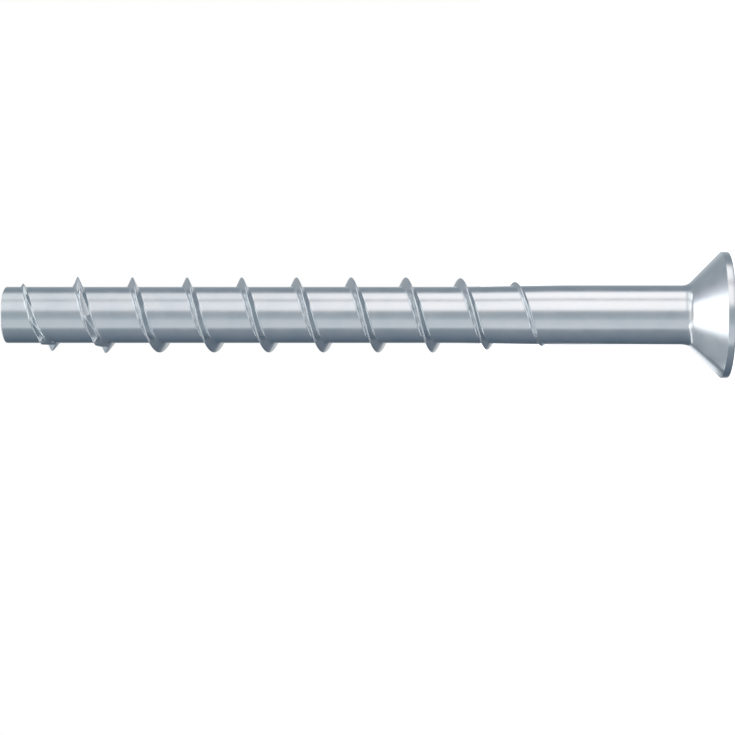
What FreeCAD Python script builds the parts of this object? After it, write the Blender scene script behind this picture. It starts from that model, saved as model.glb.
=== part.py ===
import FreeCAD, Part

import math
import os

# A countersunk concrete screw, rolled and headed from one piece of steel.
# Lengths are in millimetres and angles in degrees.
# It stands on its flat head face at z = 0, and +Z runs up its axis to the tip.
# Angles are counted from +X towards +Y, so the thread is right-handed.

# Overall form, from the head to the tip
SCREW_LENGTH = 120.0
SHANK_DIAMETER = 9.9
CORE_DIAMETER = 9.35
TAPER_START = 28.0
TAPER_LENGTH = 17.0
TIP_BREAK = 0.25

# Countersunk head
HEAD_DIAMETER = 21.0
RIM_THICKNESS = 1.2
RIM_BREAK = 0.2
HEAD_CONE_ANGLE = 90.0
NECK_RADIUS = 2.2

# Six-lobed drive recess in the head
LOBE_COUNT = 6
LOBE_DIAMETER = 8.95
WAIST_DIAMETER = 6.45
LOBE_RADIUS = 0.65
RECESS_DEPTH = 5.0
RECESS_POINT_ANGLE = 120.0

# Thread ridge, which grows in at the tip and sinks into the shank
THREAD_DIAMETER = 12.5
THREAD_PITCH = 9.09
THREAD_FLANK_ANGLE = 45.0
CREST_WIDTH = 0.2
ROOT_FLARE = 0.25
THREADED_LENGTH = 93.0
RUNOUT_LENGTH = 19.5
LEAD_IN_LENGTH = 9.3
LEAD_IN_DIAMETER = 9.5
TIP_CREST_ANGLE = 109.0

# Saw teeth in the first turns, where the crest stands a little higher and then comes down
CUTTING_DIAMETER = 12.64
CUTTING_LENGTH = 17.0
CUTTING_FADE = 8.0
TOOTH_COUNT = 15
TOOTH_SPACING = 44.5
FIRST_TOOTH_ANGLE = -51.0
TOOTH_FLOOR_RISE = 0.042
TOOTH_FLOOR_TILT = 5.0

# Radii that follow from the sizes above
HEAD_RADIUS = HEAD_DIAMETER / 2
SHANK_RADIUS = SHANK_DIAMETER / 2
CORE_RADIUS = CORE_DIAMETER / 2
CREST_RADIUS = THREAD_DIAMETER / 2
CUTTING_RADIUS = CUTTING_DIAMETER / 2

# How far the ridge is rooted inside the core, and how finely its helix is drawn
ROOT_SINK = 0.3
POINTS_PER_TURN = 18

UP = FreeCAD.Vector(0, 0, 1)
HEAD_CENTRE = FreeCAD.Vector(0, 0, 0)


def polar_point(radius, angle, height=0.0):
    """A point from its distance to the axis, its angle and its height."""
    turn = math.radians(angle)
    return FreeCAD.Vector(radius * math.cos(turn), radius * math.sin(turn), height)


def closed_polygon(points):
    return Part.makePolygon(points + points[:1])


def revolve(wire):
    """Turn a closed half-section about the screw's axis."""
    return Part.Face(wire).revolve(HEAD_CENTRE, UP, 360)


def make_blank():
    """Head, neck, plain shank, taper and core, turned from one half-section."""
    slant = math.radians(HEAD_CONE_ANGLE / 2)
    neck_reach = NECK_RADIUS * math.tan(slant / 2)
    corner = RIM_THICKNESS + (HEAD_RADIUS - SHANK_RADIUS) / math.tan(slant)
    on_cone = FreeCAD.Vector(
        SHANK_RADIUS + neck_reach * math.sin(slant), 0, corner - neck_reach * math.cos(slant)
    )
    on_shank = FreeCAD.Vector(SHANK_RADIUS, 0, corner + neck_reach)
    centre = FreeCAD.Vector(SHANK_RADIUS + NECK_RADIUS, 0, corner + neck_reach)
    inward = (FreeCAD.Vector(SHANK_RADIUS, 0, corner) - centre).normalize()
    head_outline = [
        FreeCAD.Vector(0, 0, SCREW_LENGTH),
        HEAD_CENTRE,
        FreeCAD.Vector(HEAD_RADIUS - RIM_BREAK, 0, 0),
        FreeCAD.Vector(HEAD_RADIUS, 0, RIM_BREAK),
        FreeCAD.Vector(HEAD_RADIUS, 0, RIM_THICKNESS),
        on_cone,
    ]
    shank_outline = [
        on_shank,
        FreeCAD.Vector(SHANK_RADIUS, 0, TAPER_START),
        FreeCAD.Vector(CORE_RADIUS, 0, TAPER_START + TAPER_LENGTH),
        FreeCAD.Vector(CORE_RADIUS, 0, SCREW_LENGTH),
        FreeCAD.Vector(0, 0, SCREW_LENGTH),
    ]
    neck = Part.Arc(on_cone, centre + inward * NECK_RADIUS, on_shank).toShape()
    edges = Part.makePolygon(head_outline).Edges + [neck] + Part.makePolygon(shank_outline).Edges
    return revolve(Part.Wire(edges))


def make_recess():
    """The drive recess: six lobes joined by tangent arcs, over a drilled point."""
    half_step = 180 / LOBE_COUNT
    lobe_centre = LOBE_DIAMETER / 2 - LOBE_RADIUS
    waist = WAIST_DIAMETER / 2
    across = lobe_centre * math.cos(math.radians(half_step))
    waist_radius = (lobe_centre**2 + waist**2 - 2 * waist * across - LOBE_RADIUS**2) / (
        2 * (LOBE_RADIUS - waist + across)
    )
    tangent_share = LOBE_RADIUS / (LOBE_RADIUS + waist_radius)
    edges = []
    for lobe in range(LOBE_COUNT):
        middle = 2 * half_step * lobe
        centre = polar_point(lobe_centre, middle)
        next_centre = polar_point(lobe_centre, middle + 2 * half_step)
        waist_before = polar_point(waist + waist_radius, middle - half_step)
        waist_after = polar_point(waist + waist_radius, middle + half_step)
        lobe_start = centre + (waist_before - centre) * tangent_share
        lobe_end = centre + (waist_after - centre) * tangent_share
        next_start = next_centre + (waist_after - next_centre) * tangent_share
        lobe_middle = polar_point(LOBE_DIAMETER / 2, middle)
        waist_middle = polar_point(waist, middle + half_step)
        edges.append(Part.Arc(lobe_start, lobe_middle, lobe_end).toShape())
        edges.append(Part.Arc(lobe_end, waist_middle, next_start).toShape())
    outline = Part.Face(Part.Wire(edges))
    point_height = LOBE_DIAMETER / 2 / math.tan(math.radians(RECESS_POINT_ANGLE / 2))
    drilled = revolve(
        closed_polygon(
            [
                HEAD_CENTRE,
                FreeCAD.Vector(LOBE_DIAMETER / 2, 0, 0),
                FreeCAD.Vector(LOBE_DIAMETER / 2, 0, RECESS_DEPTH),
                FreeCAD.Vector(0, 0, RECESS_DEPTH + point_height),
            ]
        )
    )
    return outline.extrude(UP * (RECESS_DEPTH + point_height)).common(drilled)


def crest_radius_at(height):
    """Full height along the thread, a little more at the teeth, less at the tip and the run-out."""
    from_tip = SCREW_LENGTH - height
    start = LEAD_IN_DIAMETER / 2
    growing = start + (CUTTING_RADIUS - start) * from_tip / LEAD_IN_LENGTH
    past_teeth = min(max((from_tip - CUTTING_LENGTH) / CUTTING_FADE, 0), 1)
    level = CUTTING_RADIUS + (CREST_RADIUS - CUTTING_RADIUS) * past_teeth
    sinking = SHANK_RADIUS + (CREST_RADIUS - SHANK_RADIUS) * (THREADED_LENGTH - from_tip) / RUNOUT_LENGTH
    return min(level, growing, sinking)


def crest_angle_at(height):
    """The angle at which the crest passes a height."""
    return TIP_CREST_ANGLE + 360 * (height - SCREW_LENGTH) / THREAD_PITCH


def crest_height_at(angle):
    """The height at which the crest passes an angle, counted in whole turns from the tip."""
    return SCREW_LENGTH + THREAD_PITCH * (angle - TIP_CREST_ANGLE) / 360


def ridge_section():
    """Corners of the ridge as (depth below the crest, height from its middle)."""
    spread = math.tan(math.radians(THREAD_FLANK_ANGLE / 2))
    flank_depth = CREST_RADIUS - CORE_RADIUS - ROOT_FLARE
    flank_foot = CREST_WIDTH / 2 + flank_depth * spread
    flare = ROOT_FLARE + ROOT_SINK
    return [
        (flank_depth + flare, -flank_foot - flare),
        (flank_depth, -flank_foot),
        (0.0, -CREST_WIDTH / 2),
        (0.0, CREST_WIDTH / 2),
        (flank_depth, flank_foot),
        (flank_depth + flare, flank_foot + flare),
    ]


def make_ridge():
    """The thread ridge: its section is carried up the helix, and each strip is cut turn by turn."""
    section = ridge_section()
    sunk_run = ROOT_SINK * RUNOUT_LENGTH / (CREST_RADIUS - SHANK_RADIUS)
    low = SCREW_LENGTH - THREADED_LENGTH - sunk_run
    high = SCREW_LENGTH + section[-1][1]
    steps = math.ceil((high - low) / THREAD_PITCH * POINTS_PER_TURN)
    heights = [low + (high - low) * step / steps for step in range(steps + 1)]
    corner_lines = []
    for depth, offset in section:
        line = Part.BSplineCurve()
        points = [polar_point(crest_radius_at(z) - depth, crest_angle_at(z), z + offset) for z in heights]
        line.interpolate(Points=points, Parameters=[float(step) for step in range(steps + 1)])
        corner_lines.append(line)
    cuts = list(range(0, steps, POINTS_PER_TURN)) + [steps]
    faces = []
    for line, next_line in zip(corner_lines, corner_lines[1:] + corner_lines[:1]):
        for start, stop in zip(cuts, cuts[1:]):
            strip = ruled_strip(line, next_line)
            strip.segment(0, 1, start, stop)
            faces.append(strip.toShape())
    for end in (0, steps):
        faces.append(Part.Face(closed_polygon([line.value(end) for line in corner_lines])))
    shell = Part.makeShell(faces)
    shell.sewShape()
    return Part.makeSolid(Part.Shell(shell.Faces))


def ruled_strip(line, next_line):
    """The straight-sided surface between two lines that share their knots."""
    strip = Part.BSplineSurface()
    strip.buildFromPolesMultsKnots(
        [line.getPoles(), next_line.getPoles()],
        [2, 2],
        line.getMultiplicities(),
        [0.0, 1.0],
        line.getKnots(),
        False,
        False,
        1,
        line.Degree,
    )
    return strip


def make_tooth_gaps():
    """One block for each gap: a steep face across the ridge, and a flat floor that runs out of it."""
    gaps = []
    for tooth in range(TOOTH_COUNT):
        angle = FIRST_TOOTH_ANGLE - tooth * TOOTH_SPACING
        middle = crest_height_at(angle)
        low = middle - THREAD_PITCH / 2
        floor_radius = CORE_RADIUS + TOOTH_FLOOR_RISE * (SCREW_LENGTH - middle)
        outward = polar_point(1, angle + TOOTH_FLOOR_TILT)
        along = polar_point(1, angle + TOOTH_FLOOR_TILT + 90)
        face_foot = polar_point(floor_radius / math.cos(math.radians(TOOTH_FLOOR_TILT)), angle, low)
        face_top = polar_point(THREAD_DIAMETER, angle, low)
        floor_end = face_foot + along * CREST_RADIUS
        far_corner = floor_end + outward * CREST_RADIUS
        block = Part.Face(closed_polygon([face_foot, face_top, far_corner, floor_end]))
        gaps.append(block.extrude(UP * THREAD_PITCH))
    return gaps


def make_tip_trim():
    """What lies past the flat tip and the small chamfer round it."""
    inner = CORE_RADIUS - TIP_BREAK
    outer = THREAD_DIAMETER
    top = SCREW_LENGTH + THREAD_PITCH
    return revolve(
        closed_polygon(
            [
                FreeCAD.Vector(0, 0, SCREW_LENGTH),
                FreeCAD.Vector(inner, 0, SCREW_LENGTH),
                FreeCAD.Vector(outer, 0, SCREW_LENGTH - (outer - inner)),
                FreeCAD.Vector(outer, 0, top),
                FreeCAD.Vector(0, 0, top),
            ]
        )
    )


def make_concrete_screw():
    ridge = make_ridge().cut(make_tooth_gaps())
    return make_blank().fuse(ridge).cut([make_tip_trim(), make_recess()])


if __name__ == "__main__":
    os.makedirs("parts", exist_ok=True)
    concrete_screw = make_concrete_screw()
    print("solids", len(concrete_screw.Solids), "valid", concrete_screw.isValid())
    print("volume", round(concrete_screw.Volume, 2), "faces", len(concrete_screw.Faces))
    concrete_screw.Solids[0].exportStep("parts/concrete_screw.step")
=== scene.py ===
import math

import bmesh
import bpy
from mathutils import Matrix, Vector


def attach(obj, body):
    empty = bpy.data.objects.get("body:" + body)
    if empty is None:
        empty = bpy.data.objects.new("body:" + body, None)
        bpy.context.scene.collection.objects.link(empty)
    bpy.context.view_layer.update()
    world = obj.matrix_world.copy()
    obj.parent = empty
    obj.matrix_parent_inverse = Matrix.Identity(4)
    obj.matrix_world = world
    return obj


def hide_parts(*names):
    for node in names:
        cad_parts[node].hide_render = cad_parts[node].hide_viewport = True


# A countersunk concrete screw in zinc-plated steel, standing on its head with the tip up.
# The camera is rolled a quarter turn, so the picture shows it lying with the tip to the left.
# The form is worked out in millimetres and degrees, as in the part's source, and goes into
# Blender in metres. Angles are counted from +X towards +Y.

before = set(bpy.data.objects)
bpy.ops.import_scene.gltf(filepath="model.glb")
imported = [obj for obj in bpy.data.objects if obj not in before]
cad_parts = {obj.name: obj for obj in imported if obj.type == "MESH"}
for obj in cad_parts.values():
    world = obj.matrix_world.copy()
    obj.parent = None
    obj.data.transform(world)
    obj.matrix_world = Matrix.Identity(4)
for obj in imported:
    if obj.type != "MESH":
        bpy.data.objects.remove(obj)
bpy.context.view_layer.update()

MM = 0.001

# Overall form, the same sizes as the part's
SCREW_LENGTH = 120.0
SHANK_RADIUS = 4.95
CORE_RADIUS = 4.675
TAPER_START = 28.0
TAPER_END = 45.0
TIP_ROUNDING = 0.2
TIP_RIDGE_FLARE = 2.0

# Head
HEAD_RADIUS = 10.5
CONE_SLANT = math.radians(45)
CONE_ROUNDING = 0.12
RIM_HEIGHT = 1.2
RIM_ROUNDING = 0.2
NECK_RADIUS = 2.2

# Six-lobed drive recess
LOBE_STEP = 60.0
LOBE_REACH = 4.475
LOBE_RADIUS = 0.65
LOBE_CENTRE = LOBE_REACH - LOBE_RADIUS
WAIST = 3.225
RECESS_DEPTH = 5.0
RECESS_SLOPE = math.tan(math.radians(30))
RECESS_EDGE = 0.12

# Thread ridge
CREST_RADIUS = 6.25
CUTTING_RADIUS = 6.32
CUTTING_TAPER_START = 95.0
CUTTING_TAPER_END = 103.0
THREAD_PITCH = 9.09
HALF_CREST = 0.1
FLANK_SPREAD = math.tan(math.radians(22.5))
THREADED_LENGTH = 93.0
RUNOUT_LENGTH = 19.5
LEAD_IN_LENGTH = 9.3
LEAD_IN_RADIUS = 4.75
TIP_CREST_ANGLE = 109.0
CREST_ROUNDING = 0.25
ROOT_ROUNDING = 0.4
LEAST_RIDGE_HEIGHT = 0.02

# Saw teeth
TOOTH_COUNT = 15
TOOTH_STEP = 44.5
TOOTH_FLOOR_RISE = 0.042
TOOTH_FLOOR_TILT = 5.0
FIRST_TOOTH_ANGLE = -51.0
TOOTH_FACE_WIDTH = 0.3
TOOTH_EDGE_WIDTH = 0.6
TOOTH_EDGE_BREAK = 0.05

# How finely the skin is divided: the thread between its two level rings
COLUMN_STEP = 2.5
CLOSEST_COLUMNS = COLUMN_STEP / 4
THREAD_BOTTOM = 26.0
THREAD_TOP = 119.3
TURNS_PAST_TIP = 3
CREST_BEND_ROWS = (-1, -0.4, 0.1, 0.55, 1)
ROOT_BEND_ROWS = (-1, -0.66, -0.33, 0, 0.33, 0.66, 1)
LAND_ROWS = (0.35, 1.2)
CLOSEST_ROWS = 0.006

# How finely the tip and the head are divided
TIP_ROWS = (0.1, 0.2, 0.3, 0.4)
TIP_EDGE_STEPS = 8
TIP_FACE_SHARES = (0.8, 0.45)
SHANK_ROWS = (24.0, 20.0, 16.0, 12.5, 10.0, 8.5)
NECK_STEPS = 12
CONE_SHARES = (0.25, 0.5, 0.75)
CONE_MARGIN = 0.05
HEAD_EDGE_STEPS = 6
HEAD_FACE_ROWS = (9.2, 7.4, 6.0, 5.1)
RECESS_EDGE_STEPS = 4
RECESS_WALL_SHARES = (0.2, 0.5, 0.8, 1.0)
RECESS_FLOOR_SHARES = (0.75, 0.5, 0.25)
SHARP_EDGE = math.radians(38)

# Zinc plating: its colours, how fine its marks are, and how far they change the gloss and relief
ZINC_DULL = (0.64, 0.69, 0.73, 1.0)
ZINC_BRIGHT = (0.70, 0.735, 0.765, 1.0)
ZINC_AT_TIP = (0.60, 0.68, 0.70, 1.0)
TIP_TINT_HEIGHTS = (105 * MM, 122 * MM)
TIP_TINT_SHARE = 0.5
CLOUD_SCALE = 260.0
CLOUD_RANGE = (0.3, 0.7)
SPECK_SCALE = 2600.0
TURNING_MARK_SCALE = (120.0, 120.0, 6000.0)
ZINC_ROUGHNESS = 0.17
CLOUD_ROUGHNESS = 0.05
SPECK_ROUGHNESS = 0.06
TURNING_RELIEF = 0.6
SPECK_RELIEF = 0.4
RELIEF_STRENGTH = 0.12
RELIEF_DEPTH = 0.03 * MM

# Floor
FLOOR_REACH = 3.0
FLOOR_GREY = 0.9
FLOOR_ROUGHNESS = 0.9
FLOOR_GLOW = 0.8

# Camera: how far it stands off the axis, below it in the picture, and up from the head face
CAMERA_DISTANCE = 329.5
CAMERA_DROP = 8.75
CAMERA_HEIGHT = 45.7
CAMERA_ANGLE = math.degrees(math.atan2(CAMERA_DROP, CAMERA_DISTANCE))
SENSOR_WIDTH = 36.0
CLIP_NEAR = 0.01
CLIP_FAR = 20.0

# The picture in pixels: its side, the lens's focal length, and the column it faces squarely
PICTURE_SIDE = 735
FOCAL_LENGTH = 1980
FACED_COLUMN = 453.0

# Light comes from places in the studio, each given by two angles. The first goes round the
# screw: 0 at the camera, 90 above it in the picture, -90 below it and 180 behind the screw. The
# second is tipward: 0 square to the screw, 90 straight past the tip and -90 past the head.
# A band is its middle, half width and softness, and a fade is the angles where it starts and ends.

# Walls, by their colours round the screw: square to it, past its tip and past its head
LEVEL_WALL = (
    (-180, (0.52, 0.56, 0.58)),
    (-165, (0.37, 0.41, 0.45)),
    (-145, (0.10, 0.13, 0.16)),
    (-115, (0.16, 0.20, 0.25)),
    (-58, (0.33, 0.37, 0.41)),
    (-17, (0.51, 0.57, 0.62)),
    (0, (0.44, 0.48, 0.51)),
    (62, (0.50, 0.51, 0.53)),
    (110, (0.31, 0.35, 0.40)),
    (135, (0.30, 0.35, 0.39)),
    (150, (0.41, 0.46, 0.50)),
    (165, (0.68, 0.72, 0.74)),
    (180, (0.52, 0.56, 0.58)),
)
TIP_WALL = (
    (-180, (0.40, 0.42, 0.45)),
    (-120, (0.40, 0.44, 0.48)),
    (-60, (0.60, 0.61, 0.63)),
    (-20, (0.74, 0.74, 0.75)),
    (0, (0.52, 0.53, 0.54)),
    (100, (0.38, 0.41, 0.45)),
    (135, (0.37, 0.42, 0.455)),
    (180, (0.40, 0.42, 0.45)),
)
HEAD_WALL = (
    (-180, (0.22, 0.26, 0.31)),
    (-150, (0.15, 0.18, 0.22)),
    (-90, (0.20, 0.24, 0.29)),
    (-40, (0.35, 0.40, 0.44)),
    (0, (0.38, 0.43, 0.47)),
    (90, (0.38, 0.43, 0.47)),
    (180, (0.23, 0.27, 0.32)),
)

# Where the walls meet: the tip wall starts further out below the screw and nearer behind it
TIP_WALL_START = 23.0
TIP_WALL_FADE = (-9.0, 9.0)
BELOW_BAND = (-100.0, 45.0, 12.0)
BELOW_SHIFT = 13.0
BEHIND_FADE = (150.0, 165.0)
BEHIND_SHIFT = 8.0
HEAD_WALL_FADE = (-12.0, -28.0)

# A lighter patch on the wall behind, a little towards the head
BACK_PATCH_BAND = (-18.0, 9.0, 3.0)
BACK_PATCH_FADE = (155.0, 168.0)
BACK_PATCH_LEVEL = 0.75

# Two strips above, which the core and the shank mirror as their light lines. The ridge's roots
# and flanks mirror the stretches beyond those two, on both sides.
UPPER_STRIP_BANDS = ((83.0, 17.5, 6.0), (37.5, 20.5, 6.0))
UPPER_STRIP_START = (-26.0, -12.0)
UPPER_STRIP_END = (46.0, 50.0)
CORE_STRETCH = (0.91, 0.92, 0.94, 1.0)
SHANK_STRETCH = (1.50, 1.42, 1.40, 1.0)
SHANK_STRETCH_FADE = (10.0, -3.0)
HEADWARD_STRETCH = (0.80, 0.82, 0.84, 1.0)
HEADWARD_STRETCH_FADE = (-9.0, -16.0)
TIPWARD_STRETCH_LEVEL = 1.3
TIPWARD_STRETCH_FADE = (13.0, 24.0)
LAST_STRETCH_LEVEL = 1.75
LAST_STRETCH_FADE = (33.0, 43.0)

# One strip below
LOWER_STRIP_BAND = (-37.0, 18.5, 3.0)
LOWER_STRIP_START = (-30.0, -16.0)
LOWER_STRIP_END = (14.0, 22.0)
LOWER_STRIP_SHARE = 0.9
LOWER_STRIP_TOP = (0.76, 0.78, 0.81, 1.0)
LOWER_STRIP_BOTTOM = (0.86, 0.88, 0.91, 1.0)
LOWER_STRIP_FADE = (-34.0, -52.0)

# A dark bar and a small light, which the flanks on the tip's side mirror beside each other
DARK_BAR_BANDS = ((40.0, 65.0, 15.0), (54.0, 5.0, 2.0))
DARK_BAR_LEVEL = 0.38
FLANK_LIGHT_BANDS = ((-4.0, 18.0, 6.0), (41.5, 4.5, 2.0))
FLANK_LIGHT_LEVEL = 1.3

# A long tube that runs aslant past the screw's underside. The first two numbers say how far the
# direction across it points up and how far it points to the tip, and its band lies across it.
TUBE_UPWARD = 0.64
TUBE_TIPWARD = 0.768
TUBE_BAND = (-0.02, 0.045, 0.02)
TUBE_LOW_END = (-142.0, -128.0)
TUBE_HIGH_END = (-35.0, -50.0)
TUBE_LEVEL = 1.9

# A faint glow above, past the tip
GLOW_BAND = (105.0, 50.0, 12.0)
GLOW_FADE = (50.0, 64.0)
GLOW_COLOUR = (0.72, 0.72, 0.80, 1.0)

# A bright panel past the tip, further out in front of the screw, below it and above it
TIP_PANEL_EDGE = 63.5
TIP_PANEL_FADE = (-5.0, 5.0)
TIP_PANEL_LEVEL = 1.9
FRONT_BAND = (0.0, 27.0, 14.0)
FRONT_SHIFT = 7.0
LOW_PANEL_FADE = (-62.0, -80.0)
LOW_PANEL_SHIFT = 4.5
HIGH_PANEL_FADE = (68.0, 88.0)
HIGH_PANEL_SHIFT = 4.0

# A bright panel past the head, which reaches nearer above the screw
HEAD_PANEL_EDGE = -66.0
HEAD_PANEL_FADE = (3.0, -3.0)
HEAD_PANEL_LEVEL = 1.5
HEAD_PANEL_BAND = (82.0, 35.0, 20.0)
HEAD_PANEL_SHIFT = 16.0

# How wide the light of the lit cards spreads
CARD_SPREAD = math.radians(80)


def smooth_min(one, other, width):
    """The smaller of two values, rounded over where they meet."""
    overlap = max(width - abs(one - other), 0.0) / width
    return min(one, other) - overlap * overlap * width / 4


def smooth_max(one, other, width):
    return -smooth_min(-one, -other, width)


def body_radius(height):
    """Shank, taper and core without the thread."""
    share = (height - TAPER_START) / (TAPER_END - TAPER_START)
    return SHANK_RADIUS + (CORE_RADIUS - SHANK_RADIUS) * min(max(share, 0.0), 1.0)


def crest_radius(height):
    """Full height along the thread, a little more at the teeth, less at the tip and the run-out."""
    from_tip = SCREW_LENGTH - height
    growing = LEAD_IN_RADIUS + (CUTTING_RADIUS - LEAD_IN_RADIUS) * from_tip / LEAD_IN_LENGTH
    share = (height - CUTTING_TAPER_START) / (CUTTING_TAPER_END - CUTTING_TAPER_START)
    cutting = CREST_RADIUS + (CUTTING_RADIUS - CREST_RADIUS) * min(max(share, 0.0), 1.0)
    left = (THREADED_LENGTH - from_tip) / RUNOUT_LENGTH
    sinking = SHANK_RADIUS + (CREST_RADIUS - SHANK_RADIUS) * left
    return min(cutting, growing, sinking)


def crest_height(turned):
    """The crest's height at an angle that goes on counting from turn to turn."""
    return SCREW_LENGTH + THREAD_PITCH * (turned - TIP_CREST_ANGLE) / 360


def toothed_radius(turned, full):
    """The crest's radius with the gaps between the saw teeth cut into it."""
    past_face = (turned - FIRST_TOOTH_ANGLE) % TOOTH_STEP
    tooth = round((FIRST_TOOTH_ANGLE - (turned - past_face)) / TOOTH_STEP)
    if not 0 <= tooth < TOOTH_COUNT:
        return full
    if past_face < TOOTH_FACE_WIDTH / 2:
        return full - TOOTH_EDGE_BREAK
    from_tip = SCREW_LENGTH - crest_height(turned - past_face)
    floor = CORE_RADIUS + TOOTH_FLOOR_RISE * from_tip
    return min(full, floor / math.cos(math.radians(past_face - TOOTH_FLOOR_TILT)))


class RidgeSection:
    """The ridge and half the land on each side of it, at one angle along the helix."""

    def __init__(self, turned):
        self.height = crest_height(turned)
        full = crest_radius(self.height)
        self.crest = toothed_radius(turned, full)
        self.half_crest = HALF_CREST + (full - self.crest) * FLANK_SPREAD
        drop = max(self.crest - body_radius(self.height), LEAST_RIDGE_HEIGHT)
        self.foot = self.half_crest + drop * FLANK_SPREAD
        self.root_rounding = min(ROOT_ROUNDING, drop)

    def radius(self, offset):
        """The surface at a height above or below the crest's."""
        flank = self.crest + (self.half_crest - abs(offset)) / FLANK_SPREAD
        ridge = smooth_min(self.crest, flank, CREST_ROUNDING)
        return smooth_max(ridge, body_radius(self.height + offset), self.root_rounding)

    def offsets(self):
        """Distances from the ridge's middle, closest together where the section bends."""
        crest_bend = CREST_ROUNDING * FLANK_SPREAD
        root_bend = self.root_rounding * FLANK_SPREAD
        marks = [self.half_crest + crest_bend * row for row in CREST_BEND_ROWS]
        marks.append((self.half_crest + self.foot) / 2)
        marks += [self.foot + root_bend * row for row in ROOT_BEND_ROWS]
        marks += [self.foot + row for row in LAND_ROWS]
        side = []
        reached = 0.0
        for mark in marks:
            reached = max(mark, reached + CLOSEST_ROWS)
            side.append(reached)
        return [-THREAD_PITCH / 2] + [-mark for mark in reversed(side)] + [0.0] + side


def radius_at(angle, height):
    """The threaded surface at any place, from the turn of the ridge that is nearest to it."""
    turned = TIP_CREST_ANGLE + 360 * (height - SCREW_LENGTH) / THREAD_PITCH
    nearest = angle + 360 * round((turned - angle) / 360)
    section = RidgeSection(nearest)
    return section.radius(height - section.height)


def column_angles():
    """The same angles serve every ring and turn, so all rows meet vertex to vertex."""
    angles = []
    for tooth in range(TOOTH_COUNT):
        face = FIRST_TOOTH_ANGLE - tooth * TOOTH_STEP
        angles += [(face + TOOTH_FACE_WIDTH) % 360, (face - TOOTH_EDGE_WIDTH) % 360]
    for step in range(round(360 / COLUMN_STEP)):
        angle = COLUMN_STEP * step
        if all(abs(angle - other) > CLOSEST_COLUMNS for other in angles):
            angles.append(angle)
    return sorted(angles)


class Skin:
    """The vertices and faces of the screw's surface."""

    def __init__(self):
        self.angles = column_angles()
        self.points = []
        self.faces = []

    def point(self, angle, radius, height):
        turn = math.radians(angle)
        self.points.append(
            (radius * math.cos(turn) * MM, radius * math.sin(turn) * MM, height * MM)
        )
        return len(self.points) - 1

    def ring(self, radius_of, height_of):
        """A ring whose radius and height may change with the angle."""
        return [self.point(a, radius_of(a), height_of(a)) for a in self.angles]

    def round_ring(self, radius, height):
        return [self.point(a, radius, height) for a in self.angles]

    def face(self, *corners):
        """A face from those of its corners that differ, or none if fewer than three do."""
        kept = [c for index, c in enumerate(corners) if c != corners[index - 1]]
        if len(set(kept)) > 2:
            self.faces.append(kept)

    def join(self, lower, upper):
        for index in range(len(lower)):
            after = (index + 1) % len(lower)
            self.face(lower[index], lower[after], upper[after], upper[index])

    def join_upwards(self, rings):
        for lower, upper in zip(rings, rings[1:]):
            self.join(lower, upper)

    def join_downwards(self, rings):
        for upper, lower in zip(rings, rings[1:]):
            self.join(lower, upper)

    def close(self, ring, height):
        """A fan from the ring to a point on the axis."""
        middle = self.point(0.0, 0.0, height)
        for index in range(len(ring)):
            self.face(ring[index], ring[(index + 1) % len(ring)], middle)


def add_thread(skin):
    """Rows of vertices that follow the helix, cut off level at both ends."""
    bottom = skin.round_ring(body_radius(THREAD_BOTTOM), THREAD_BOTTOM)
    top = skin.ring(lambda a: radius_at(a, THREAD_TOP), lambda a: THREAD_TOP)
    turns_down = math.ceil((SCREW_LENGTH - THREAD_BOTTOM) / THREAD_PITCH) + 1
    columns = []
    for turn in range(-turns_down, TURNS_PAST_TIP):
        for index, angle in enumerate(skin.angles):
            section = RidgeSection(angle + 360 * turn)
            column = []
            for offset in section.offsets():
                height = section.height + offset
                if height <= THREAD_BOTTOM:
                    column.append(bottom[index])
                elif height >= THREAD_TOP:
                    column.append(top[index])
                else:
                    column.append(skin.point(angle, section.radius(offset), height))
            columns.append(column)
    next_turn = columns[len(skin.angles):]
    strips = [column + above[:1] for column, above in zip(columns, next_turn)]
    for strip, beside in zip(strips, strips[1:]):
        for row in range(len(strip) - 1):
            skin.face(strip[row], beside[row], beside[row + 1], strip[row + 1])
    return bottom, top


def tip_limit(height):
    """How far out anything may stand near the tip: its rounded edge, and wider below that."""
    below_edge = SCREW_LENGTH - TIP_ROUNDING - height
    if below_edge > 0:
        return CORE_RADIUS + below_edge * TIP_RIDGE_FLARE
    rise = min(-below_edge, TIP_ROUNDING)
    return CORE_RADIUS - TIP_ROUNDING + math.sqrt(TIP_ROUNDING**2 - rise**2)


def add_tip(skin, top):
    """The last of the core, the rounded edge and the flat end."""
    edge_start = SCREW_LENGTH - TIP_ROUNDING
    heights = [THREAD_TOP + row for row in TIP_ROWS]
    for step in range(TIP_EDGE_STEPS + 1):
        heights.append(edge_start + TIP_ROUNDING * math.sin(math.pi / 2 * step / TIP_EDGE_STEPS))
    rings = [top]
    for height in heights:
        limit = tip_limit(height)
        rings.append(skin.ring(lambda a: min(radius_at(a, height), limit), lambda a: height))
    flat = CORE_RADIUS - TIP_ROUNDING
    rings += [skin.round_ring(flat * share, SCREW_LENGTH) for share in TIP_FACE_SHARES]
    skin.join_upwards(rings)
    skin.close(rings[-1], SCREW_LENGTH)


def arc(centre_radius, centre_height, size, start, end, steps):
    """Radius and height along an arc, from angles that count from straight out towards the tip."""
    points = []
    for step in range(steps + 1):
        turn = start + (end - start) * step / steps
        points.append((centre_radius + size * math.cos(turn), centre_height + size * math.sin(turn)))
    return points


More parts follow.
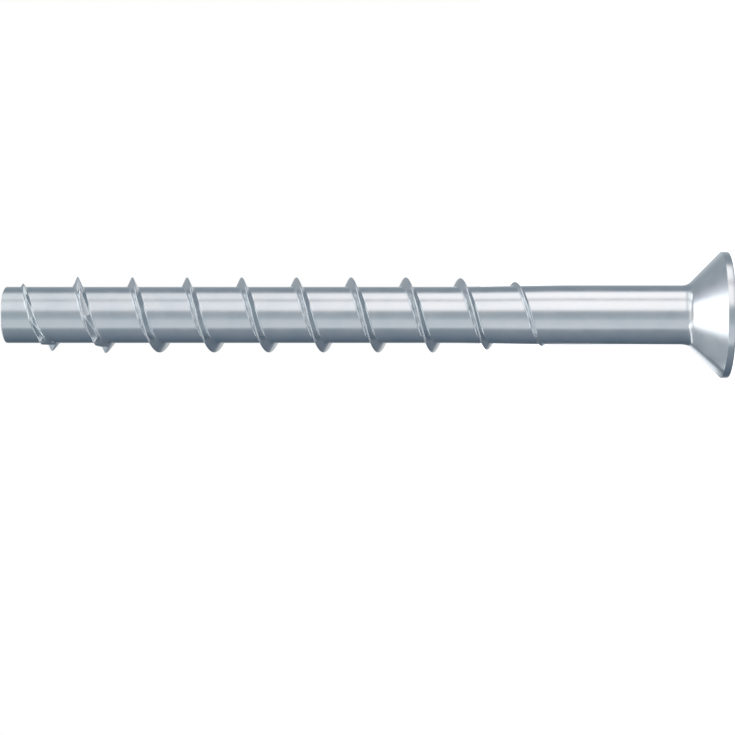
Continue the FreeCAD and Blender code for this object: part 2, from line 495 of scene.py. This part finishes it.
def head_outline():
    """Radius and height along the shank, neck, cone and rim, from the thread to the head face."""
    corner = RIM_HEIGHT + (HEAD_RADIUS - SHANK_RADIUS) / math.tan(CONE_SLANT)
    neck_top = corner + NECK_RADIUS * math.tan(CONE_SLANT / 2)
    outline = [(SHANK_RADIUS, height) for height in SHANK_ROWS]
    outline += arc(
        SHANK_RADIUS + NECK_RADIUS, neck_top, NECK_RADIUS, math.pi, math.pi + CONE_SLANT, NECK_STEPS
    )
    cone_top, cone_height = outline[-1]
    cone_bottom = HEAD_RADIUS - CONE_MARGIN
    cone_foot = RIM_HEIGHT + CONE_MARGIN / math.tan(CONE_SLANT)
    for share in CONE_SHARES:
        radius = cone_top + (cone_bottom - cone_top) * share
        outline.append((radius, cone_height + (cone_foot - cone_height) * share))
    rounding_height = RIM_HEIGHT - CONE_ROUNDING * math.tan(CONE_SLANT / 2)
    outline += arc(
        HEAD_RADIUS - CONE_ROUNDING, rounding_height, CONE_ROUNDING, CONE_SLANT, 0.0, HEAD_EDGE_STEPS
    )
    outline.append((HEAD_RADIUS, RIM_HEIGHT / 2))
    outline += arc(
        HEAD_RADIUS - RIM_ROUNDING, RIM_ROUNDING, RIM_ROUNDING, 0.0, -math.pi / 2, HEAD_EDGE_STEPS
    )
    outline += [(radius, 0.0) for radius in HEAD_FACE_ROWS]
    return outline


def recess_radius(angle):
    """The drive's outline: six round lobes, joined by hollow arcs that run into them smoothly."""
    half_step = LOBE_STEP / 2
    from_lobe = abs((angle + half_step) % LOBE_STEP - half_step)
    lobe_turn = math.radians(from_lobe)
    waist_turn = math.radians(half_step - from_lobe)
    across = LOBE_CENTRE * math.cos(math.radians(half_step))
    waist_radius = (LOBE_CENTRE**2 + WAIST**2 - 2 * WAIST * across - LOBE_RADIUS**2) / (
        2 * (LOBE_RADIUS - WAIST + across)
    )
    to_waist = WAIST + waist_radius
    waist_x = to_waist * math.cos(math.radians(half_step))
    waist_y = to_waist * math.sin(math.radians(half_step))
    share = LOBE_RADIUS / (LOBE_RADIUS + waist_radius)
    touch_turn = math.atan2(waist_y * share, LOBE_CENTRE + (waist_x - LOBE_CENTRE) * share)
    if lobe_turn <= touch_turn:
        side = LOBE_RADIUS**2 - (LOBE_CENTRE * math.sin(lobe_turn)) ** 2
        return LOBE_CENTRE * math.cos(lobe_turn) + math.sqrt(max(side, 0.0))
    side = waist_radius**2 - (to_waist * math.sin(waist_turn)) ** 2
    return to_waist * math.cos(waist_turn) - math.sqrt(max(side, 0.0))


def recess_floor(radius):
    """Height of the drilled floor above the head face."""
    return RECESS_DEPTH + (LOBE_REACH - radius) * RECESS_SLOPE


def add_head(skin, bottom):
    """Shank, neck, cone and rim, then the recess from its rounded mouth to its drilled point."""
    rings = [bottom]
    rings += [skin.round_ring(radius, height) for radius, height in head_outline()]
    wall = {angle: recess_radius(angle) for angle in skin.angles}
    for step in range(RECESS_EDGE_STEPS + 1):
        turn = math.pi / 2 * step / RECESS_EDGE_STEPS
        out = RECESS_EDGE * (1 - math.sin(turn))
        deep = RECESS_EDGE * (1 - math.cos(turn))
        rings.append(skin.ring(lambda a: wall[a] + out, lambda a: deep))
    for share in RECESS_WALL_SHARES:
        rings.append(
            skin.ring(
                lambda a: wall[a],
                lambda a: RECESS_EDGE + (recess_floor(wall[a]) - RECESS_EDGE) * share,
            )
        )
    for share in RECESS_FLOOR_SHARES:
        rings.append(skin.ring(lambda a: wall[a] * share, lambda a: recess_floor(wall[a] * share)))
    skin.join_downwards(rings)
    skin.close(rings[-1], recess_floor(0.0))


def clean(mesh):
    """Delete unused vertices, face outwards, and say whether the skin is closed."""
    mesh.validate()
    shape = bmesh.new()
    shape.from_mesh(mesh)
    loose = [vertex for vertex in shape.verts if not vertex.link_faces]
    bmesh.ops.delete(shape, geom=loose, context="VERTS")
    bmesh.ops.recalc_face_normals(shape, faces=shape.faces)
    open_edges = sum(1 for edge in shape.edges if not edge.is_manifold)
    print(mesh.name, "faces", len(shape.faces), "open edges", open_edges)
    shape.to_mesh(mesh)
    shape.free()


def make_screw():
    skin = Skin()
    bottom, top = add_thread(skin)
    add_tip(skin, top)
    add_head(skin, bottom)
    mesh = bpy.data.meshes.new("steel_screw")
    mesh.from_pydata(skin.points, [], skin.faces)
    clean(mesh)
    mesh.shade_smooth()
    mesh.set_sharp_from_angle(angle=SHARP_EDGE)
    screw = bpy.data.objects.new("steel_screw", mesh)
    bpy.context.scene.collection.objects.link(screw)
    return screw


class Value:
    """A number that varies in a node tree and can be used in plain arithmetic."""

    def __init__(self, nodes, output):
        self.nodes = nodes
        self.output = output

    def __add__(self, other):
        return self.nodes.maths("ADD", self, other)

    def __radd__(self, other):
        return self.nodes.maths("ADD", other, self)

    def __sub__(self, other):
        return self.nodes.maths("SUBTRACT", self, other)

    def __rsub__(self, other):
        return self.nodes.maths("SUBTRACT", other, self)

    def __mul__(self, other):
        return self.nodes.maths("MULTIPLY", self, other)

    def __truediv__(self, other):
        return self.nodes.maths("DIVIDE", self, other)

    def __neg__(self):
        return self.nodes.maths("MULTIPLY", self, -1.0)

    def __abs__(self):
        return self.nodes.maths("ABSOLUTE", self)


class Nodes:
    """Adds nodes to one material or world."""

    def __init__(self, owner):
        owner.use_nodes = True
        self.tree = owner.node_tree
        self.tree.nodes.clear()

    def add(self, kind, settings=None, inputs=None, output=0, stops=None):
        """Any node, from its type, settings, socket values or links, and a ramp's stops."""
        node = self.tree.nodes.new(kind)
        for name, setting in (settings or {}).items():
            setattr(node, name, setting)
        if stops:
            ramp = node.color_ramp
            while len(ramp.elements) < len(stops):
                ramp.elements.new(1.0)
            for element, (place, colour) in zip(ramp.elements, stops):
                element.position = place
                element.color = (*colour, 1.0)
        for name, value in (inputs or {}).items():
            if isinstance(value, Value):
                self.tree.links.new(value.output, node.inputs[name])
            else:
                node.inputs[name].default_value = value
        return Value(self, node.outputs[output]) if node.outputs else None

    def maths(self, operation, *terms):
        return self.add("ShaderNodeMath", {"operation": operation}, dict(enumerate(terms)))

    def step(self, value, start, end):
        """0 before start, 1 past end, and smooth between them."""
        return self.add(
            "ShaderNodeMapRange",
            {"interpolation_type": "SMOOTHSTEP"},
            {"Value": value, "From Min": start, "From Max": end, "To Min": 0.0, "To Max": 1.0},
        )

    def blend(self, share, first, second):
        """From the first colour to the second, through the Mix node's two colour sockets."""
        return self.add(
            "ShaderNodeMix",
            {"data_type": "RGBA", "clamp_factor": True},
            {0: share, 6: first, 7: second},
            output=2,
        )

    def split(self, vector):
        """A vector's three numbers."""
        first = self.add("ShaderNodeSeparateXYZ", inputs={"Vector": vector})
        return [Value(self, output) for output in first.output.node.outputs]

    def noise(self, place, scale, detail, roughness):
        return self.add(
            "ShaderNodeTexNoise",
            inputs={"Vector": place, "Scale": scale, "Detail": detail, "Roughness": roughness},
        )


def grey(level):
    """A colourless light."""
    return (level, level, level, 1.0)


class Studio:
    """Soft light from all round, painted on the world in layers, each over those before it."""

    def __init__(self):
        world = bpy.data.worlds.new("studio")
        bpy.context.scene.world = world
        self.nodes = Nodes(world)
        direction = self.nodes.add("ShaderNodeTexCoord", output="Generated")
        self.up, depth, self.along = self.nodes.split(direction)
        degrees = 180 / math.pi
        self.round_screw = self.nodes.maths("ARCTAN2", self.up, -depth) * degrees + CAMERA_ANGLE
        self.tipward = self.nodes.maths("ARCSINE", self.along) * degrees
        self.light = self.wall(LEVEL_WALL)

    def wall(self, stops):
        """A colour all the way round the screw, from the places where it is known."""
        turn = self.round_screw / 360 + 0.5
        places = [(degrees / 360 + 0.5, colour) for degrees, colour in stops]
        return self.nodes.add("ShaderNodeValToRGB", inputs={0: turn}, stops=places)

    def band(self, value, shape):
        """1 near the middle and 0 beyond the half width, with a soft edge."""
        middle, half_width, softness = shape
        off = abs(value - middle)
        return 1 - self.nodes.step(off, half_width - softness, half_width + softness)

    def fade(self, value, angles):
        """0 before the fade and 1 past it."""
        start, end = angles
        return self.nodes.step(value, start, end)

    def lay(self, share, colour):
        self.light = self.nodes.blend(share, self.light, colour)

    def lay_patch(self, bands, level):
        """A patch of light, from its bands round the screw and tipward."""
        round_band, tipward_band = bands
        patch = self.band(self.round_screw, round_band) * self.band(self.tipward, tipward_band)
        self.lay(patch, grey(level))

    def lay_walls(self):
        """The walls past both ends, over the one that is square to the screw."""
        from_camera = abs(self.round_screw)
        start = TIP_WALL_START + self.band(self.round_screw, BELOW_BAND) * BELOW_SHIFT
        start = start - self.fade(from_camera, BEHIND_FADE) * BEHIND_SHIFT
        self.lay(self.fade(self.tipward - start, TIP_WALL_FADE), self.wall(TIP_WALL))
        self.lay(self.fade(self.tipward, HEAD_WALL_FADE), self.wall(HEAD_WALL))
        patch = self.band(self.tipward, BACK_PATCH_BAND) * self.fade(from_camera, BACK_PATCH_FADE)
        self.lay(patch, grey(BACK_PATCH_LEVEL))

    def upper_strip_colour(self):
        """The upper strips' colour, stretch by stretch from headward to tipward."""
        blend = self.nodes.blend
        near = blend(self.fade(self.tipward, SHANK_STRETCH_FADE), CORE_STRETCH, SHANK_STRETCH)
        near = blend(self.fade(self.tipward, HEADWARD_STRETCH_FADE), near, HEADWARD_STRETCH)
        far = blend(
            self.fade(self.tipward, LAST_STRETCH_FADE),
            grey(TIPWARD_STRETCH_LEVEL),
            grey(LAST_STRETCH_LEVEL),
        )
        return blend(self.fade(self.tipward, TIPWARD_STRETCH_FADE), near, far)

    def lay_strips(self):
        colour = self.upper_strip_colour()
        length = self.fade(self.tipward, UPPER_STRIP_START)
        length = length * (1 - self.fade(self.tipward, UPPER_STRIP_END))
        for strip in UPPER_STRIP_BANDS:
            self.lay(self.band(self.round_screw, strip) * length, colour)
        colour = self.nodes.blend(
            self.fade(self.round_screw, LOWER_STRIP_FADE), LOWER_STRIP_TOP, LOWER_STRIP_BOTTOM
        )
        length = 1 - self.fade(self.tipward, LOWER_STRIP_END)
        length = length * self.fade(self.tipward, LOWER_STRIP_START)
        strip = self.band(self.round_screw, LOWER_STRIP_BAND)
        self.lay(strip * length * LOWER_STRIP_SHARE, colour)

    def lay_tube(self):
        tube = self.band(self.up * TUBE_UPWARD + self.along * TUBE_TIPWARD, TUBE_BAND)
        tube = tube * self.fade(self.round_screw, TUBE_LOW_END)
        tube = tube * self.fade(self.round_screw, TUBE_HIGH_END)
        self.lay(tube, grey(TUBE_LEVEL))

    def lay_tip_panel(self):
        glow = self.fade(self.tipward, GLOW_FADE) * self.band(self.round_screw, GLOW_BAND)
        self.lay(glow, GLOW_COLOUR)
        edge = TIP_PANEL_EDGE + self.band(self.round_screw, FRONT_BAND) * FRONT_SHIFT
        edge = edge + self.fade(self.round_screw, LOW_PANEL_FADE) * LOW_PANEL_SHIFT
        edge = edge + self.fade(self.round_screw, HIGH_PANEL_FADE) * HIGH_PANEL_SHIFT
        self.lay(self.fade(self.tipward - edge, TIP_PANEL_FADE), grey(TIP_PANEL_LEVEL))

    def lay_head_panel(self):
        edge = HEAD_PANEL_EDGE + self.band(self.round_screw, HEAD_PANEL_BAND) * HEAD_PANEL_SHIFT
        self.lay(self.fade(self.tipward - edge, HEAD_PANEL_FADE), grey(HEAD_PANEL_LEVEL))

    def show(self):
        """The steel mirrors the studio, and the camera sees plain white behind the screw."""
        studio = self.nodes.add("ShaderNodeBackground", inputs={"Color": self.light})
        white = self.nodes.add("ShaderNodeBackground", inputs={"Color": grey(1.0)})
        seen = self.nodes.add("ShaderNodeLightPath", output="Is Camera Ray")
        shown = self.nodes.add("ShaderNodeMixShader", inputs={0: seen, 1: studio, 2: white})
        self.nodes.add("ShaderNodeOutputWorld", inputs={"Surface": shown})


def light_studio():
    studio = Studio()
    studio.lay_walls()
    studio.lay_strips()
    studio.lay_patch(DARK_BAR_BANDS, DARK_BAR_LEVEL)
    studio.lay_patch(FLANK_LIGHT_BANDS, FLANK_LIGHT_LEVEL)
    studio.lay_tube()
    studio.lay_tip_panel()
    studio.lay_head_panel()
    studio.show()


def towards(round_screw, tipward):
    """The direction from the screw to a place in the studio."""
    turn = math.radians(round_screw - CAMERA_ANGLE)
    rise = math.radians(tipward)
    return Vector(
        (math.cos(rise) * math.sin(turn), -math.cos(rise) * math.cos(turn), math.sin(rise))
    )


def place_card(name, target, distance, size, strength, ends):
    """A small lit card that the steel near its target mirrors. It lies between its two ends in
    the studio, its size is in millimetres and its strength in watts per square metre."""
    light = bpy.data.lights.new(name, "AREA")
    light.shape = "RECTANGLE"
    light.size, light.size_y = (side * MM for side in size)
    light.energy = strength * light.size * light.size_y
    light.spread = CARD_SPREAD
    card = bpy.data.objects.new(name, light)
    bpy.context.scene.collection.objects.link(card)
    one_end, other_end = (towards(*end) for end in ends)
    back = (one_end + other_end).normalized()
    side = (other_end - one_end).normalized()
    turned = Matrix((side, back.cross(side), back)).transposed()
    place = (Vector(target) + back * distance) * MM
    card.matrix_world = Matrix.Translation(place) @ turned.to_4x4()
    card.visible_camera = False
    card.visible_diffuse = False


def place_cards():
    """One behind the head, low in the picture, edges the cone; one in front lights the neck."""
    place_card(
        "cone_card",
        target=(-8, 0, 5),
        distance=60,
        size=(31, 8.5),
        strength=0.52,
        ends=((-170, 1), (-150, 20)),
    )
    place_card(
        "neck_card",
        target=(-2, -4.8, 7.3),
        distance=40,
        size=(26, 12),
        strength=0.54,
        ends=((-45, 22), (-45, 60)),
    )


def zinc_plated_steel():
    """Bright zinc over cold-formed steel: cool grey, faintly cloudy, with fine turning marks."""
    material = bpy.data.materials.new("zinc_plated_steel")
    nodes = Nodes(material)
    place = nodes.add("ShaderNodeTexCoord", output="Object")
    height = nodes.split(place)[2]
    clouds = nodes.noise(place, CLOUD_SCALE, detail=3.0, roughness=0.55)
    specks = nodes.noise(place, SPECK_SCALE, detail=3.0, roughness=0.6)
    stretched = nodes.add(
        "ShaderNodeMapping", inputs={"Vector": place, "Scale": TURNING_MARK_SCALE}
    )
    turning = nodes.noise(stretched, scale=1.0, detail=2.0, roughness=0.5)
    cloudy = nodes.step(clouds, *CLOUD_RANGE)
    colour = nodes.blend(cloudy, ZINC_DULL, ZINC_BRIGHT)
    near_tip = nodes.step(height, *TIP_TINT_HEIGHTS)
    colour = nodes.blend(near_tip * TIP_TINT_SHARE, colour, ZINC_AT_TIP)
    roughness = ZINC_ROUGHNESS + cloudy * CLOUD_ROUGHNESS + specks * SPECK_ROUGHNESS
    relief = nodes.add(
        "ShaderNodeBump",
        inputs={
            "Strength": RELIEF_STRENGTH,
            "Distance": RELIEF_DEPTH,
            "Height": turning * TURNING_RELIEF + specks * SPECK_RELIEF,
        },
    )
    steel = nodes.add(
        "ShaderNodeBsdfPrincipled",
        inputs={"Base Color": colour, "Metallic": 1.0, "Roughness": roughness, "Normal": relief},
    )
    nodes.add("ShaderNodeOutputMaterial", inputs={"Surface": steel})
    return material


def floor_paper():
    material = bpy.data.materials.new("pale_floor")
    nodes = Nodes(material)
    paper = nodes.add(
        "ShaderNodeBsdfPrincipled",
        inputs={
            "Base Color": grey(FLOOR_GREY),
            "Roughness": FLOOR_ROUGHNESS,
            "Emission Color": grey(1.0),
            "Emission Strength": FLOOR_GLOW,
        },
    )
    nodes.add("ShaderNodeOutputMaterial", inputs={"Surface": paper})
    return material


def pale_floor():
    """A white floor that the screw stands on, kept out of the steel's reflections."""
    sides = ((-1, -1), (1, -1), (1, 1), (-1, 1))
    corners = [(FLOOR_REACH * x, FLOOR_REACH * y, 0.0) for x, y in sides]
    mesh = bpy.data.meshes.new("floor")
    mesh.from_pydata(corners, [], [(0, 1, 2, 3)])
    mesh.materials.append(floor_paper())
    floor = bpy.data.objects.new("floor", mesh)
    bpy.context.scene.collection.objects.link(floor)
    floor.visible_glossy = False


def place_camera():
    """As the photograph: square to the axis, a little below it and nearer the head."""
    camera = bpy.data.cameras.new("camera")
    camera.sensor_width = SENSOR_WIDTH
    camera.lens = SENSOR_WIDTH * FOCAL_LENGTH / PICTURE_SIDE
    camera.shift_x = (PICTURE_SIDE / 2 - FACED_COLUMN) / PICTURE_SIDE
    camera.clip_start = CLIP_NEAR
    camera.clip_end = CLIP_FAR
    viewer = bpy.data.objects.new("camera", camera)
    bpy.context.scene.collection.objects.link(viewer)
    right, up, back = Vector((0, 0, -1)), Vector((1, 0, 0)), Vector((0, -1, 0))
    turned = Matrix((right, up, back)).transposed()
    place = Vector((-CAMERA_DROP, -CAMERA_DISTANCE, CAMERA_HEIGHT)) * MM
    viewer.matrix_world = Matrix.Translation(place) @ turned.to_4x4()
    bpy.context.scene.camera = viewer


place_camera()
light_studio()
place_cards()
pale_floor()
screw = make_screw()
screw.data.materials.append(zinc_plated_steel())
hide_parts("concrete_screw")
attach(screw, "root")
bpy.context.scene.view_settings.view_transform = "Standard"
